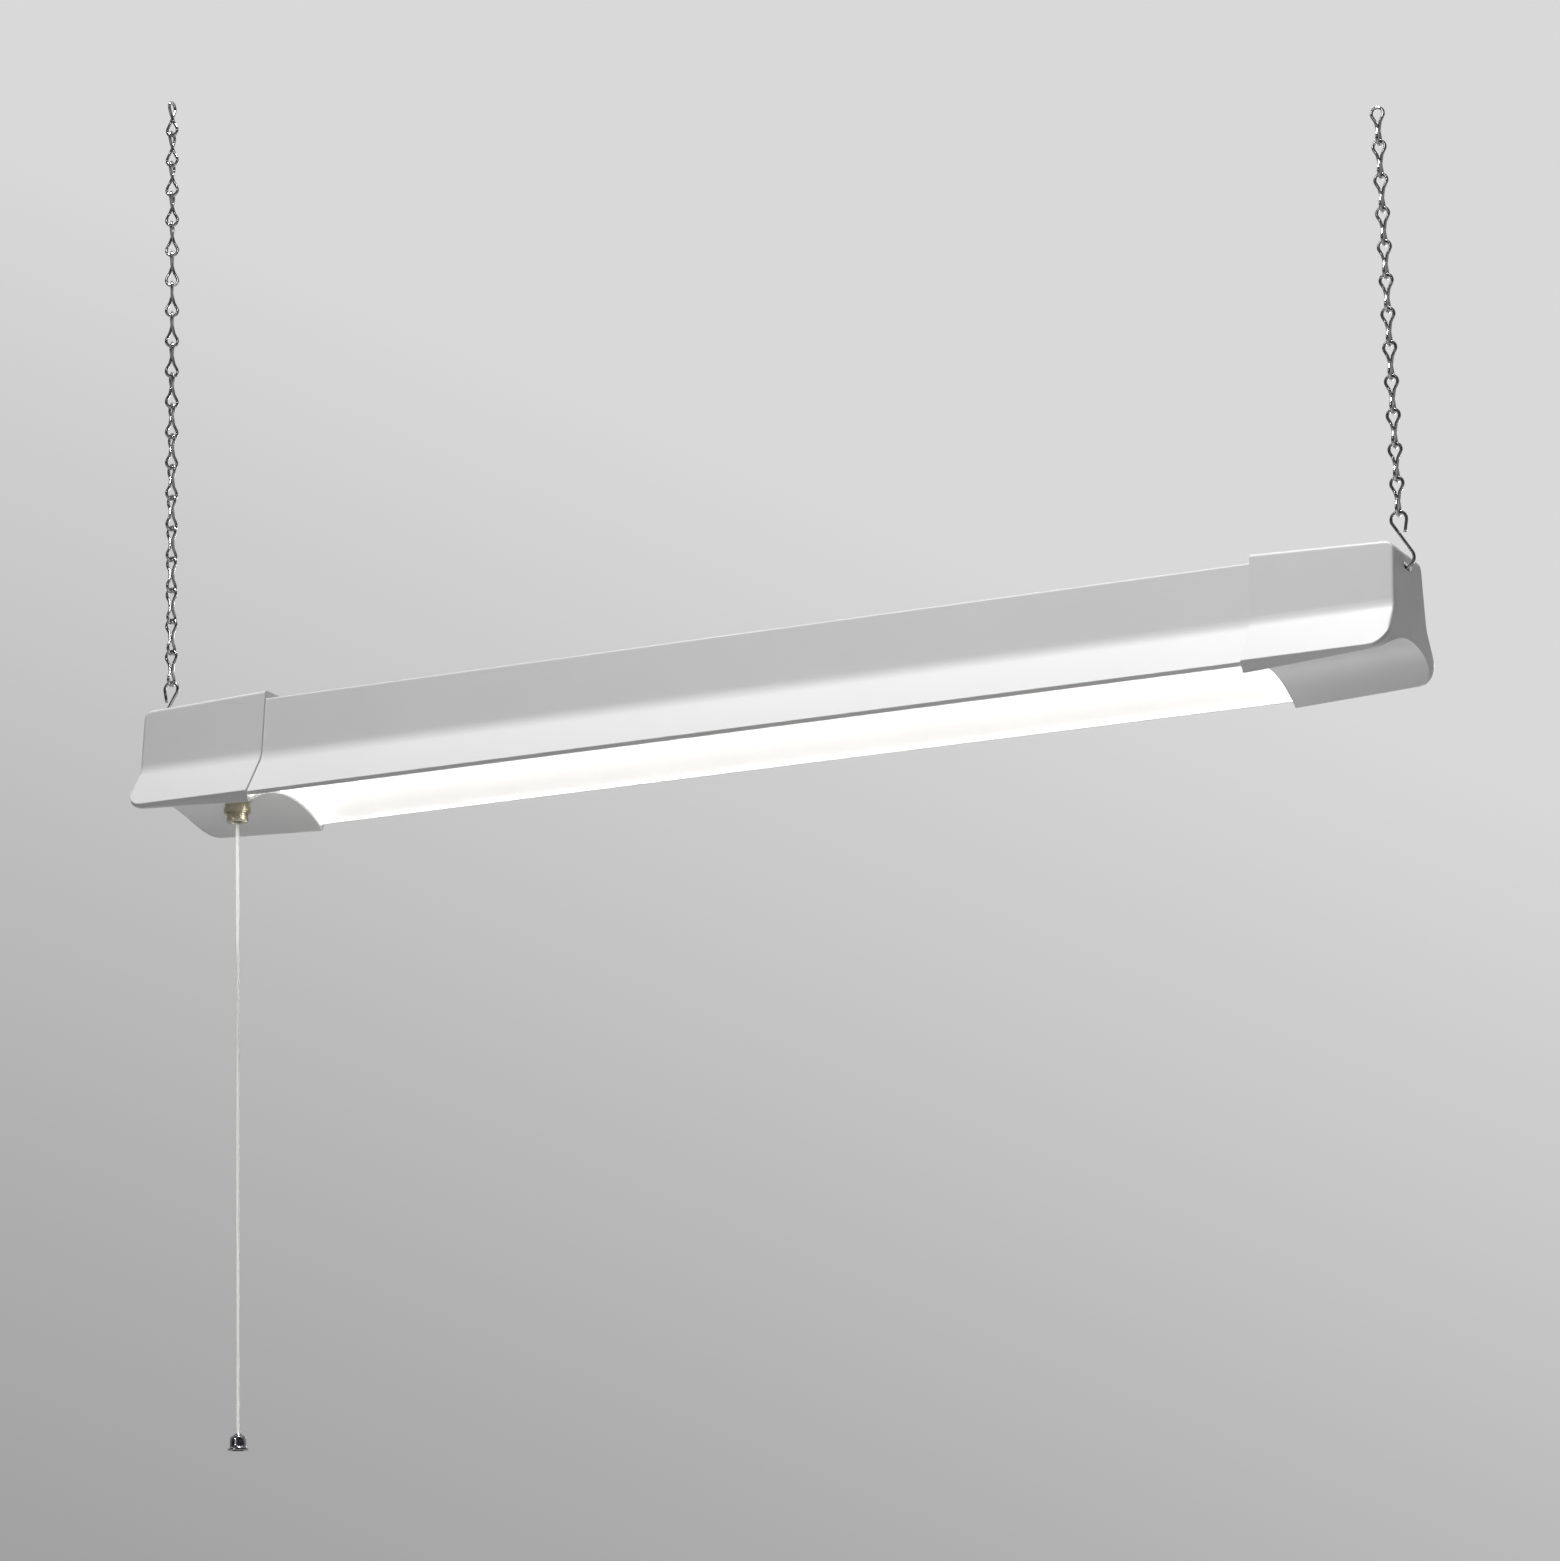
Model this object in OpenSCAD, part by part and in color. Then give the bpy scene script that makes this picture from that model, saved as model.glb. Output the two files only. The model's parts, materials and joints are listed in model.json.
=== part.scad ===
// Hanging two-lamp shop light, 4 ft class: formed steel reflector, two moulded end caps,
// a jack chain and S-hook at each end, and a pull-cord switch in the left cap.
// Millimetres. X runs along the lamps from left to right, Y from front to back, Z is up.
// The origin is the eye of the left chain's top link, where the light is hung.

/* [Body] */
// Overall length over the two end caps
body_len = 1232; // [1226:1:1240]
// Length of one end cap
cap_len = 130; // [120:1:140]
// Half width of the cap across its top
top_half = 39.5; // [38:0.5:41]
// Half width at the bend between side and flare
bend_half = 47.5; // [46:0.5:49]
// Half width over the tips of the flared skirt
skirt_half = 77; // [76:0.5:79]
// Depth of the bend below the cap top
bend_depth = 62.5; // [60:0.5:64]
// Depth of the skirt tip below the cap top
skirt_depth = 101.5; // [100:0.5:103]
// Wall of the moulded cap
cap_wall = 2.5; // [2:0.1:3]

/* [Underside] */
// Half distance between the two feet of the cap's vaulted underside
foot_half = 70.5; // [69:0.5:72]
// Depth of a foot at the inner end of the cap
foot_depth = 111.5; // [110:0.5:113]
// Rise of the foot line towards the outer end
foot_rise = 7.2; // [6:0.2:8]
// Height of the vault's crown above its feet
vault_rise = 20; // [18:0.5:22]

/* [Lamps] */
// Length of a lamp between its base faces
lamp_len = 1199.4; // [1199:0.1:1200]
// Diameter of the lamp tube
lamp_d = 25.4; // [25:0.1:26]
// Half distance between the two lamps
lamp_half = 26; // [25:0.5:27]
// Depth of the lamps below the cap top
lamp_depth = 57; // [55:0.5:59]

/* [Chains] */
// Length of chain that one link adds
pitch = 30.8; // [30:0.1:31.5]
// Diameter of the chain and hook wire
wire = 3; // [2.8:0.1:3.2]
// Links in the left chain
left_links = 19; // [17:1:21]
// Links in the right chain
right_links = 12; // [10:1:14]
// Turn of each left link on the one below it
left_twist = 5; // [0:1:6]

/* [Pull cord] */
// Distance of the switch nozzle from the outer end of the left cap
nozzle_inset = 78; // [74:1:82]
// Diameter of the pull cord
cord_d = 3.4; // [3:0.1:3.9]

/* [Hidden] */
$fn = 48;

half_len = body_len / 2;
seam_x = half_len - cap_len;
clearance = 0.15;

// End cap: its rim stands top_rise over the datum, its top falls and its underside rises outwards
top_rise = 2.2;
top_drop = 4.6;
cap_lid = 4.9;
top_round = 3.5;
bend_round = 24;
tip_round = 1.2;
end_round_top = 8;
end_round_bottom = 18;
end_edge_round = 2.4;
end_steps = [18, 12, 8, 5, 2.8, 1.2, 0.3, 0];
least_land = 3;
arc_steps = 6;
small_arc_steps = 2;
vault_r = (foot_half * foot_half + vault_rise * vault_rise) / (2 * vault_rise);
vault_tilt = atan(foot_rise / cap_len);
side_dir = [bend_half - top_half, -bend_depth] / norm([bend_half - top_half, bend_depth]);
flare_dir = [skirt_half - bend_half, bend_depth - skirt_depth]
  / norm([skirt_half - bend_half, skirt_depth - bend_depth]);
groove_len = 48;
groove_depth = 106;
shelf_depth = 103.3;
shelf_bevel = 3;

// Reflector: one folded sheet with a hemmed lip
sheet = 0.8;
fold_round = 1.8;
reflector_top = cap_lid + 0.1;
reflector_end = half_len - 10;
flare_end = seam_x + 45;
notch_depth = 60;
lip_depth = 102;
lip_drop = 3.2;
lip_run = 2.5;

// Plates and the ballast cover seat at this depth, against the underside of the reflector's top
under_top = reflector_top + sheet + 0.05;

// End plate behind the end wall, and the slot that the hook passes through
plate_t = 1;
plate_x = half_len - 6;
plate_flange = 24;
flange_half = 33.5;
plate_depth = 72;
plate_corner = 2;
slot_half = 12;
slot_top = 14.8;
slot_h = 6;

// Rivets of the plates, and screws that hold the caps to them; holes are wider by hole_slack
rivet_x = half_len - 22;
rivet_y = 28;
rivet_d = 3.2;
cap_screw_x = half_len - 19;
cap_screw_y = 14;
cap_screw_d = 3;
sheet_screw_d = 3.5;
hole_slack = 0.2;

// Channel that covers the ballast and its wires
cover_end = half_len - 36;
cover_depth = 36;
cover_screw_x = 300;
cover_screw_d = 4;
ballast_len = 240;
ballast_top = reflector_top + sheet + 0.1;
ballast_screw_x = ballast_len / 2 + 7;
lead_d = 1.5;
inlet_x = -430;
inlet_r = 4.25;
ground_x = inlet_x + 35;

// Lamp parts
holder_x = half_len - 15.2;
holder_t = 9;
holder_w = 24;
holder_top = 22;
holder_screw_z = 33;
holder_screw_d = 3.5;
tube_wall = 0.9;
base_len = 16;
base_wall = 0.9;
base_r = lamp_d / 2 + 0.15;
tube_neck_r = base_r - base_wall - 0.05;
pin_len = 7.1;
pin_d = 2.36;
pin_gap = 12.7;
rotor_r = 8.8;
pin_slot = 3.4;

// Switch, nozzle and cord
nozzle_x = -half_len + nozzle_inset;
nozzle_top = 90.4;
nozzle_nut_bottom = 103.5;
nozzle_bottom = 111.5;
nozzle_bore = 4.5;
neck_r = 5;
rod_eye = 104;
ring_z = 107.1;
bell_top = 686.5;
bell_h = 15;

// Hooks and chains. Where one link hangs in another, their wires' centres are contact apart.
// Straight wires are joint_step thinner than the arcs that they join, and run joint_lap into them.
contact = wire + 0.3;
hook_r = 9;
hook_eye_r = 7;
hook_eye = [half_len - 6, 27];
hook_seat = [half_len - 3, -17 + hook_r];
chain_x = hook_eye[0];
chain_low = hook_eye[1] + hook_eye_r - contact / 2;
loop_r = 5.5;
joint_lap = 0.2;
joint_step = 0.02;
link_reach = (pitch + contact) / 2;
left_top = chain_low + left_links * pitch;
right_slack = 0.9;
hang_point = [-chain_x, 0, left_top];

// Route of the pull cord from the nozzle's mouth down into the bell, from the origin
cord_route = [[72, 0, -728], [72, 0, -740], [72, 0, -770], [72.1, 0, -810],
  [72.2, 0.1, -850], [72.2, 0.1, -890], [72.1, 0.1, -930], [72, 0, -970],
  [71.9, 0, -1010], [71.9, -0.1, -1050], [71.9, -0.1, -1090], [72, -0.1, -1130],
  [72.1, 0, -1170], [72.1, 0, -1210], [72, 0, -1250], [72, 0, -1280], [72, 0, -1311.5]];
cord_step = 8.5;
cord_sides = 8;

white = "white";
plastic = [0.93, 0.93, 0.92];
steel = [0.75, 0.76, 0.78];
brass = [0.78, 0.66, 0.38];

// ---- helpers ----

// Moves a piece from the body's own frame, centred on the cap top, to the hanging point
module hung() {
  translate(-hang_point) children();
}

// Repeats the right-hand end's piece at the left-hand end
module at_left() {
  mirror([1, 0, 0]) children();
}

function unit(v) = v / norm(v);

// Arc that rounds the corner b of the path a, b, c
function corner(a, b, c, r) =
  let (u = unit(a - b), w = unit(c - b), half = acos(max(-1, min(1, u * w))) / 2,
       t = r / tan(half), p = b + u * t, m = b + unit(u + w) * r / sin(half),
       a0 = atan2(p[1] - m[1], p[0] - m[0]), q = b + w * t,
       a1 = atan2(q[1] - m[1], q[0] - m[0]),
       turn = a1 - a0 > 180 ? a1 - a0 - 360 : a1 - a0 < -180 ? a1 - a0 + 360 : a1 - a0,
       steps = r > 3 ? arc_steps : small_arc_steps)
  [for (i = [0:steps]) m + r * [cos(a0 + turn * i / steps), sin(a0 + turn * i / steps)]];

// Open path with its inner corners rounded
function rounded(path, radii) =
  concat([path[0]],
    [for (i = [1:len(path) - 2]) each corner(path[i - 1], path[i], path[i + 1], radii[i - 1])],
    [path[len(path) - 1]]);

// Where two lines meet, each given by a point and a direction
function meet(p, u, q, w) =
  p + u * ((q[0] - p[0]) * w[1] - (q[1] - p[1]) * w[0]) / (u[0] * w[1] - u[1] * w[0]);

function reversed(path) = [for (i = [len(path) - 1:-1:0]) path[i]];
function mirrored(path) = [for (p = path) [-p[0], p[1]]];

// Closed outline from its right half, less the points on the centre line
function whole(half) =
  let (right = [for (p = half) if (p[0] > 0.001) p]) concat(right, reversed(mirrored(right)));

// Outline in Y and Z, stood up across X and swept from x0 to x1
module across(x0, x1) {
  translate([x0, 0, 0]) rotate([90, 0, 90]) linear_extrude(height = x1 - x0) children();
}

// Solid through closed outlines of the same number of points, each stood up at its own x
module loft(outlines, xs) {
  n = len(outlines[0]);
  last = (len(xs) - 1) * n;
  polyhedron(
    points = [for (k = [0:len(xs) - 1], p = outlines[k]) [xs[k], p[0], p[1]]],
    faces = concat(
      [for (i = [0:n / 2 - 2]) [n - 1 - i, n - 2 - i, i + 1, i]],
      [for (i = [0:n / 2 - 2]) [last + i, last + i + 1, last + n - 2 - i, last + n - 1 - i]],
      [for (k = [0:n:last - n], i = [0:n - 1]) let (j = (i + 1) % n)
        each [[k + i, k + j, k + n + i], [k + j, k + n + j, k + n + i]]]));
}

// ---- profiles, as right halves in Y and Z ----

// Bend between side and flare, set in from the cap's outer face by t
function bend_at(t) =
  meet([top_half, 0] + t * [side_dir[1], -side_dir[0]], side_dir,
    [skirt_half, -skirt_depth] + t * [flare_dir[1], -flare_dir[0]], flare_dir);

// Point on the side face, set in by t, at height z
function side_at(t, z) = meet(bend_at(t), side_dir, [0, z], [1, 0]);

// Point on the flare, set in by t, at height z
function flare_at(t, z) = meet(bend_at(t), flare_dir, [0, z], [1, 0]);

// How far an edge rounded by r has drawn in at the distance d from the end that it rounds
function drawn_in(r, d) = d >= r ? 0 : r - sqrt(r * r - (r - d) * (r - d));

// Height of a cap's top at x from its rim
function top_at(x) = top_rise - top_drop * x / cap_len;

// Outer section of a cap at x from its rim
function cap_half(x) =
  let (d = cap_len - x, t = drawn_in(end_edge_round, d),
       top = top_at(x) - drawn_in(end_round_top, d),
       foot = -foot_depth + foot_rise * x / cap_len + drawn_in(end_round_bottom, d),
       tip = flare_at(t, max(-skirt_depth, foot + least_land)),
       land_run = (skirt_half - foot_half) / (foot_depth - skirt_depth))
  rounded([[0, top], side_at(t, top), bend_at(t), tip, [tip[0] - land_run * (tip[1] - foot), foot],
      [0, foot]],
    [top_round, bend_round + t, tip_round, tip_round]);

// Section of a cap's hollow at x: the flare's inside ends at the depth rim, over a floor at the given depth
function hollow_half(x, rim, floor_x, depth) =
  let (d = cap_len - cap_wall - x, t = cap_wall + drawn_in(end_edge_round - 1, d),
       top = -cap_lid - drawn_in(end_round_top - cap_wall, d), low = -depth + drawn_in(end_round_bottom, d))
  rounded([[0, top], side_at(t, top), bend_at(t), flare_at(t, low + depth - rim), [floor_x, low], [0, low]],
    [top_round - cap_wall, bend_round + t, 0.4, 0.4]);

// Beside the reflector's flares the hollow makes room for their lip
function groove_half(x) =
  hollow_half(x, lip_depth + 0.4, flare_at(cap_wall, -lip_depth)[0] - lip_run + 0.7, groove_depth);

// Beyond the flares the hollow's floor is a shelf, which rises with the foot line
function shelf_half(x) =
  let (depth = shelf_depth - foot_rise * (x - groove_len) / cap_len,
       low = -depth + drawn_in(end_round_bottom, cap_len - cap_wall - x))
  hollow_half(x, depth - shelf_bevel, flare_at(cap_wall, low + shelf_bevel)[0] - 4, depth);

// One face of the reflector's sheet, set in by t from the cap's outer face, its fold rounded by r
function reflector_face(t, top, r) =
  rounded([[0, -top], side_at(t, -top), bend_at(t), flare_at(t, -lip_depth)], [r, bend_round + t]);

// ---- housing ----

// Hole for a screw or rivet of diameter d, down through the tops of cap, reflector and plate
module top_hole(x, y, d) {
  translate([x, y, -12]) cylinder(d = d + hole_slack, h = 16);
}

// Holes of the right-hand end's cap screws
module cap_screw_holes() {
  for (s = [-1, 1])
    top_hole(cap_screw_x, s * cap_screw_y, cap_screw_d);
}

// Holes of the rivets that join the right-hand end plate to the reflector
module rivet_holes() {
  for (s = [-1, 1])
    top_hole(rivet_x, s * rivet_y, rivet_d);
}

// Sheet steel hat section; the flares are notched away inside the caps
module reflector_housing() {
  skin = cap_wall + clearance;
  outer = reflector_face(skin, reflector_top, fold_round);
  inner = reflector_face(skin + sheet, reflector_top + sheet, fold_round - sheet);
  lip_out = outer[len(outer) - 1] + [-lip_run, -lip_drop];
  lip_in = inner[len(inner) - 1] + [-lip_run + 0.4, -lip_drop + 0.6];
  half = concat(outer, [lip_out, lip_in], reversed(inner));
  notch_len = reflector_end - flare_end;
  color(white) hung() difference() {
    across(-reflector_end, reflector_end) polygon(whole(half));
    for (s = [-1, 1]) {
      translate([s * (flare_end + notch_len), 0, -notch_depth - skirt_depth])
        cube([2 * notch_len, 4 * skirt_half, 2 * skirt_depth], center = true);
      top_hole(s * ballast_screw_x, 0, sheet_screw_d);
    }
    for (m = [0, 1])
      mirror([m, 0, 0]) {
        cap_screw_holes();
        rivet_holes();
      }
    top_hole(ground_x, 0, sheet_screw_d);
    translate([inlet_x, 0, -cap_lid - 5]) cylinder(r = inlet_r + 2, h = 10);
  }
}

// Vault under the cap: a cylinder that climbs with the foot line
module vault(r) {
  translate([0, 0, -foot_depth + vault_rise - vault_r]) rotate([0, 90 - vault_tilt, 0])
    translate([0, 0, -cap_len]) cylinder(r = r, h = 3 * cap_len, $fn = 96);
}

module hook_slot(x0, x1) {
  across(x0, x1) translate([0, -slot_top - slot_h / 2]) {
    square([2 * slot_half - slot_h, slot_h], center = true);
    for (s = [-1, 1])
      translate([s * (slot_half - slot_h / 2), 0]) circle(d = slot_h);
  }
}

// Moulded cap, drawn for the right-hand end with its rim at x = seam_x
module end_cap() {
  outside = concat([0], [for (d = end_steps) cap_len - d]);
  inside = [for (d = end_steps) cap_len - cap_wall - d];
  difference() {
    translate([seam_x, 0, 0]) difference() {
      loft([for (x = outside) whole(cap_half(x))], outside);
      difference() {
        loft(concat([whole(groove_half(-1)), whole(groove_half(groove_len))],
            [whole(shelf_half(groove_len + 1))], [for (x = inside) whole(shelf_half(x))]),
          concat([-1, groove_len, groove_len + 1], inside));
        vault(vault_r + cap_wall);
      }
      vault(vault_r);
    }
    hook_slot(half_len - 2 * cap_wall, half_len + 1);
    cap_screw_holes();
  }
}

module left_end_cap() {
  color(plastic) hung() difference() {
    at_left() end_cap();
    translate([nozzle_x, 0, -foot_depth]) cylinder(r = 5.2, h = 40);
  }
}

module right_end_cap() {
  color(plastic) hung() end_cap();
}

// Steel end plate with a flange under the reflector's top; it carries the hook
module end_plate() {
  inset = cap_wall + sheet + 1.2;
  outline = [side_at(inset, -under_top) - [plate_corner, 0], side_at(inset, -under_top - plate_corner),
    side_at(inset, -notch_depth), [bend_half - inset, -plate_depth]];
  difference() {
    union() {
      across(plate_x, plate_x + plate_t) polygon(whole(outline));
      translate([plate_x - plate_flange, -flange_half, -under_top - plate_t])
        cube([plate_flange + plate_t, 2 * flange_half, plate_t]);
    }
    hook_slot(plate_x - 1, plate_x + 2 * plate_t);
    cap_screw_holes();
    rivet_holes();
    for (s = [-1, 1])
      translate([plate_x - 1, s * lamp_half, -holder_screw_z]) rotate([0, 90, 0])
        cylinder(d = holder_screw_d + hole_slack, h = plate_t + 2);
  }
}

module left_end_plate() {
  color(steel) hung() at_left() end_plate();
}

module right_end_plate() {
  color(steel) hung() end_plate();
}

// ---- fasteners ----

// Screw standing on its tip's side: head up, cross recess in the head, head's seat at the origin
module screw(d, len, head_d, head_h) {
  difference() {
    union() {
      cylinder(d = head_d, h = head_h * 0.5);
      translate([0, 0, head_h * 0.5]) cylinder(d1 = head_d, d2 = head_d * 0.62, h = head_h * 0.5);
      translate([0, 0, -len]) cylinder(d = d, h = len);
    }
    for (a = [0, 90])
      rotate([0, 0, a]) translate([-head_d * 0.3, -head_d * 0.06, head_h * 0.45])
        cube([head_d * 0.6, head_d * 0.12, head_h]);
  }
}

// Rivet with its top at the origin and a head under the plate's flange
module rivet() {
  shank = under_top + plate_t + 0.02 - reflector_top;
  head_r = rivet_d * 0.8;
  rotate_extrude() polygon([[0, -shank - 1], [head_r - 0.4, -shank - 1], [head_r, -shank - 0.6],
    [head_r, -shank], [rivet_d / 2, -shank], [rivet_d / 2, 0], [0, 0]]);
}

// Rivets that join the plates' flanges to the reflector's top
module plate_rivets() {
  color(steel) hung() for (sx = [-1, 1], sy = [-1, 1])
    translate([sx * rivet_x, sy * rivet_y, -reflector_top - 0.02]) rivet();
}

// Screws from above through the lid of a cap; their heads clear its slope by a hair
module cap_screws() {
  for (s = [-1, 1])
    translate([cap_screw_x, s * cap_screw_y, 0.1 + top_at(cap_screw_x - seam_x)])
      screw(cap_screw_d, 9, 7, 2.2);
}

module left_cap_screws() {
  color(steel) hung() at_left() cap_screws();
}

module right_cap_screws() {
  color(steel) hung() cap_screws();
}

// Screws that hold the lampholders to the end plates
module lampholder_screws() {
  color(steel) hung() for (sx = [-1, 1], sy = [-1, 1])
    translate([sx * (holder_x - 0.05), sy * lamp_half, -holder_screw_z]) rotate([0, -90 * sx, 0])
      screw(holder_screw_d, holder_t + 0.6, 6, 1.8);
}

// Studs with round thumb heads that hold the cover up
module cover_screws() {
  color(steel) hung() for (s = [-1, 1])
    translate([s * cover_screw_x, 0, -cover_depth - 0.1]) rotate([180, 0, 0]) {
      cylinder(d = 13, h = 2);
      translate([0, 0, 2]) cylinder(d1 = 9, d2 = 8, h = 6);
      translate([0, 0, under_top - cover_depth - 0.1])
        cylinder(d = cover_screw_d, h = cover_depth + 0.1 - under_top);
    }
}

module ballast_screws() {
  color(steel) hung() for (s = [-1, 1])
    translate([s * ballast_screw_x, 0, -ballast_top - 1.3]) rotate([180, 0, 0])
      screw(sheet_screw_d, 2.5, 7, 2);
}

// ---- electrical parts under the top ----

// Folded channel between the lamps
module ballast_cover() {
  t = 0.7;
  top = -under_top;
  half = [[18.1, -cover_depth], [24.6, top - t], [29, top - t], [29, top], [24, top],
    [17.5, -cover_depth + t]];
  color(white) hung() difference() {
    across(-cover_end, cover_end) polygon(whole(half));
    for (s = [-1, 1])
      translate([s * cover_screw_x, 0, -cover_depth - 1]) cylinder(d = cover_screw_d + 0.6, h = 4);
  }
}

// Slim ballast: a can with a mounting ear at each end
module ballast() {
  can_w = 30;
  can_h = 25;
  ear = 14;
  color([0.82, 0.83, 0.84]) hung() difference() {
    union() {
      translate([0, 0, -ballast_top - can_h / 2 - 1]) cube([ballast_len, can_w, can_h], center = true);
      translate([0, 0, -ballast_top - 0.6]) cube([ballast_len + 2 * ear, can_w - 6, 1.2], center = true);
    }
    for (s = [-1, 1])
      translate([s * ballast_screw_x, 0, -ballast_top - 3]) cylinder(d = sheet_screw_d + 0.7, h = 6);
  }
}

// Nylon bushing that lines the supply lead's way in, drawn with its flange on the reflector's top
module lead_bushing() {
  color("dimgray") hung() translate([inlet_x, 0, -reflector_top]) difference() {
    union() {
      cylinder(r = inlet_r + 3.8, h = 2);
      translate([0, 0, -6.5]) cylinder(r = inlet_r + 1.9, h = 7);
    }
    translate([0, 0, -8]) cylinder(r = inlet_r, h = 12);
  }
}

// Green bonding screw beside the inlet, under the top
module ground_screw() {
  color("green") hung() translate([ground_x, 0, -reflector_top - sheet - 0.1]) rotate([180, 0, 0])
    screw(sheet_screw_d, 3.5, 8, 2);
}

// Socket for one end of a lamp, drawn at the right-hand end on the lamp's own axis
module lampholder() {
  r = holder_w / 2;
  up = lamp_depth - holder_top;
  difference() {
    across(holder_x, holder_x + holder_t) {
      circle(r = r);
      translate([-r, 0]) square([holder_w, up - 1.5]);
      translate([-r + 1.5, up - 1.6]) square([holder_w - 3, 1.6]);
    }
    across(holder_x - 1, holder_x + holder_t - 1.5) {
      circle(r = rotor_r + 0.3);
      translate([-pin_slot / 2, -r - 1]) square([pin_slot, r]);
    }
    across(holder_x - 1, holder_x + holder_t + 1)
      translate([0, lamp_depth - holder_screw_z]) circle(d = holder_screw_d + 0.4);
  }
}

module on_lamp(side) {
  translate([0, side * lamp_half, -lamp_depth]) children();
}

module left_front_lampholder() {
  color(plastic) hung() at_left() on_lamp(-1) lampholder();
}

module left_rear_lampholder() {
  color(plastic) hung() at_left() on_lamp(1) lampholder();
}

module right_front_lampholder() {
  color(plastic) hung() on_lamp(-1) lampholder();
}

module right_rear_lampholder() {
  color(plastic) hung() on_lamp(1) lampholder();
}

// Pair of slotted rotors that grip a lamp's pins; they turn with the lamp
module rotors() {
  for (m = [0, 1])
    mirror([m, 0, 0]) difference() {
      across(holder_x + 0.2, holder_x + holder_t - 1.8) circle(r = rotor_r);
      across(holder_x - 1, lamp_len / 2 + pin_len + 0.3) square([3 * rotor_r, pin_d + 0.5], center = true);
    }
}

module front_lamp_rotors() {
  color(plastic) hung() on_lamp(-1) rotors();
}

module rear_lamp_rotors() {
  color(plastic) hung() on_lamp(1) rotors();
}

// ---- lamps ----

// Ring of a tube between x = -half and x = half
module glass(half, outer_r, inner_r) {
  across(-half, half) difference() {
    circle(r = outer_r);
    circle(r = inner_r);
  }
}

// Glass tube: its necked ends stand inside the bases
module tube() {
  glass(lamp_len / 2 - base_wall - 0.1, tube_neck_r, tube_neck_r - tube_wall);
  glass(lamp_len / 2 - base_len - 1, lamp_d / 2, tube_neck_r);
}

// Aluminium base cups on a tube's two ends
module bases() {
  edge = 0.5;
  for (m = [0, 1])
    mirror([m, 0, 0]) translate([lamp_len / 2, 0, 0]) rotate([0, -90, 0]) difference() {
      rotate_extrude()
        polygon([[0, 0], [base_r - edge, 0], [base_r, edge], [base_r, base_len],
          [base_r - base_wall, base_len], [base_r - base_wall, base_wall], [0, base_wall]]);
      for (s = [-1, 1])
        translate([0, s * pin_gap / 2, -1]) cylinder(d = pin_d, h = 4);
    }
}

// Two brass pins at each end, level in the running position
module pins() {
  tip = 0.5;
  shank = pin_len + base_wall - tip;
  for (m = [0, 1], s = [-1, 1])
    mirror([m, 0, 0]) translate([lamp_len / 2 - base_wall, s * pin_gap / 2, 0]) rotate([0, 90, 0]) {
      cylinder(d = pin_d, h = shank);
      translate([0, 0, shank]) cylinder(d1 = pin_d, d2 = pin_d - 0.8, h = tip);
    }
}

module front_lamp_tube() {
  color("ivory") hung() on_lamp(-1) tube();
}

module rear_lamp_tube() {
  color("ivory") hung() on_lamp(1) tube();
}

module front_lamp_bases() {
  color(steel) hung() on_lamp(-1) bases();
}

module rear_lamp_bases() {
  color(steel) hung() on_lamp(1) bases();
}

module front_lamp_pins() {
  color(brass) hung() on_lamp(-1) pins();
}

module rear_lamp_pins() {
  color(brass) hung() on_lamp(1) pins();
}

// Wire of diameter d along X, then across to the side, then down on to a lampholder's top
module lead(run_y, run_z, drop_y) {
  bend = 8;
  end_x = holder_x + holder_t / 2;
  dip = drop_y - lamp_half + 6;
  translate([ballast_len / 2, run_y, run_z]) rotate([0, 90, 0])
    cylinder(d = lead_d, h = end_x - bend - ballast_len / 2);
  translate([end_x - bend, run_y + bend, run_z]) rotate([0, 0, -90])
    rotate_extrude(angle = 90) translate([bend, 0]) circle(d = lead_d);
  translate([end_x, run_y + bend, run_z]) rotate([-90, 0, 0])
    cylinder(d = lead_d, h = lamp_half - 6 - run_y - bend);
  translate([end_x, lamp_half - 6, run_z - dip]) rotate([90, 0, 90])
    rotate_extrude(angle = 90) translate([dip, 0]) circle(d = lead_d);
  translate([end_x, drop_y, -holder_top]) cylinder(d = lead_d, h = run_z - dip + holder_top);
}

// Leads from the ballast to the two lampholders of one end
module lamp_leads() {
  for (m = [0, 1])
    mirror([0, m, 0]) {
      lead(5, -14, lamp_half);
      lead(5, -16.2, lamp_half - 2.2);
    }
}

module left_lamp_leads() {
  color("gold") hung() at_left() lamp_leads();
}

module right_lamp_leads() {
  color("gold") hung() lamp_leads();
}

// ---- pull switch ----

// Switch in the left cap, its threaded neck standing in the cap's hole
module switch_body() {
  top = 54;
  bottom = 85.2;
  color([0.25, 0.24, 0.23]) hung() translate([nozzle_x, 0, 0]) difference() {
    union() {
      translate([0, 0, -bottom]) linear_extrude(height = bottom - top) {
        square([26, 20], center = true);
        square([20, 24], center = true);
        for (x = [-10, 10], y = [-10, 10])
          translate([x * 1.1, y]) circle(r = 2);
      }
      translate([0, 0, -nozzle_nut_bottom + 2]) cylinder(r = neck_r, h = nozzle_nut_bottom - bottom);
    }
    translate([0, 0, -nozzle_bottom]) cylinder(r = 3.4, h = nozzle_bottom - 62);
  }
}

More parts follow.
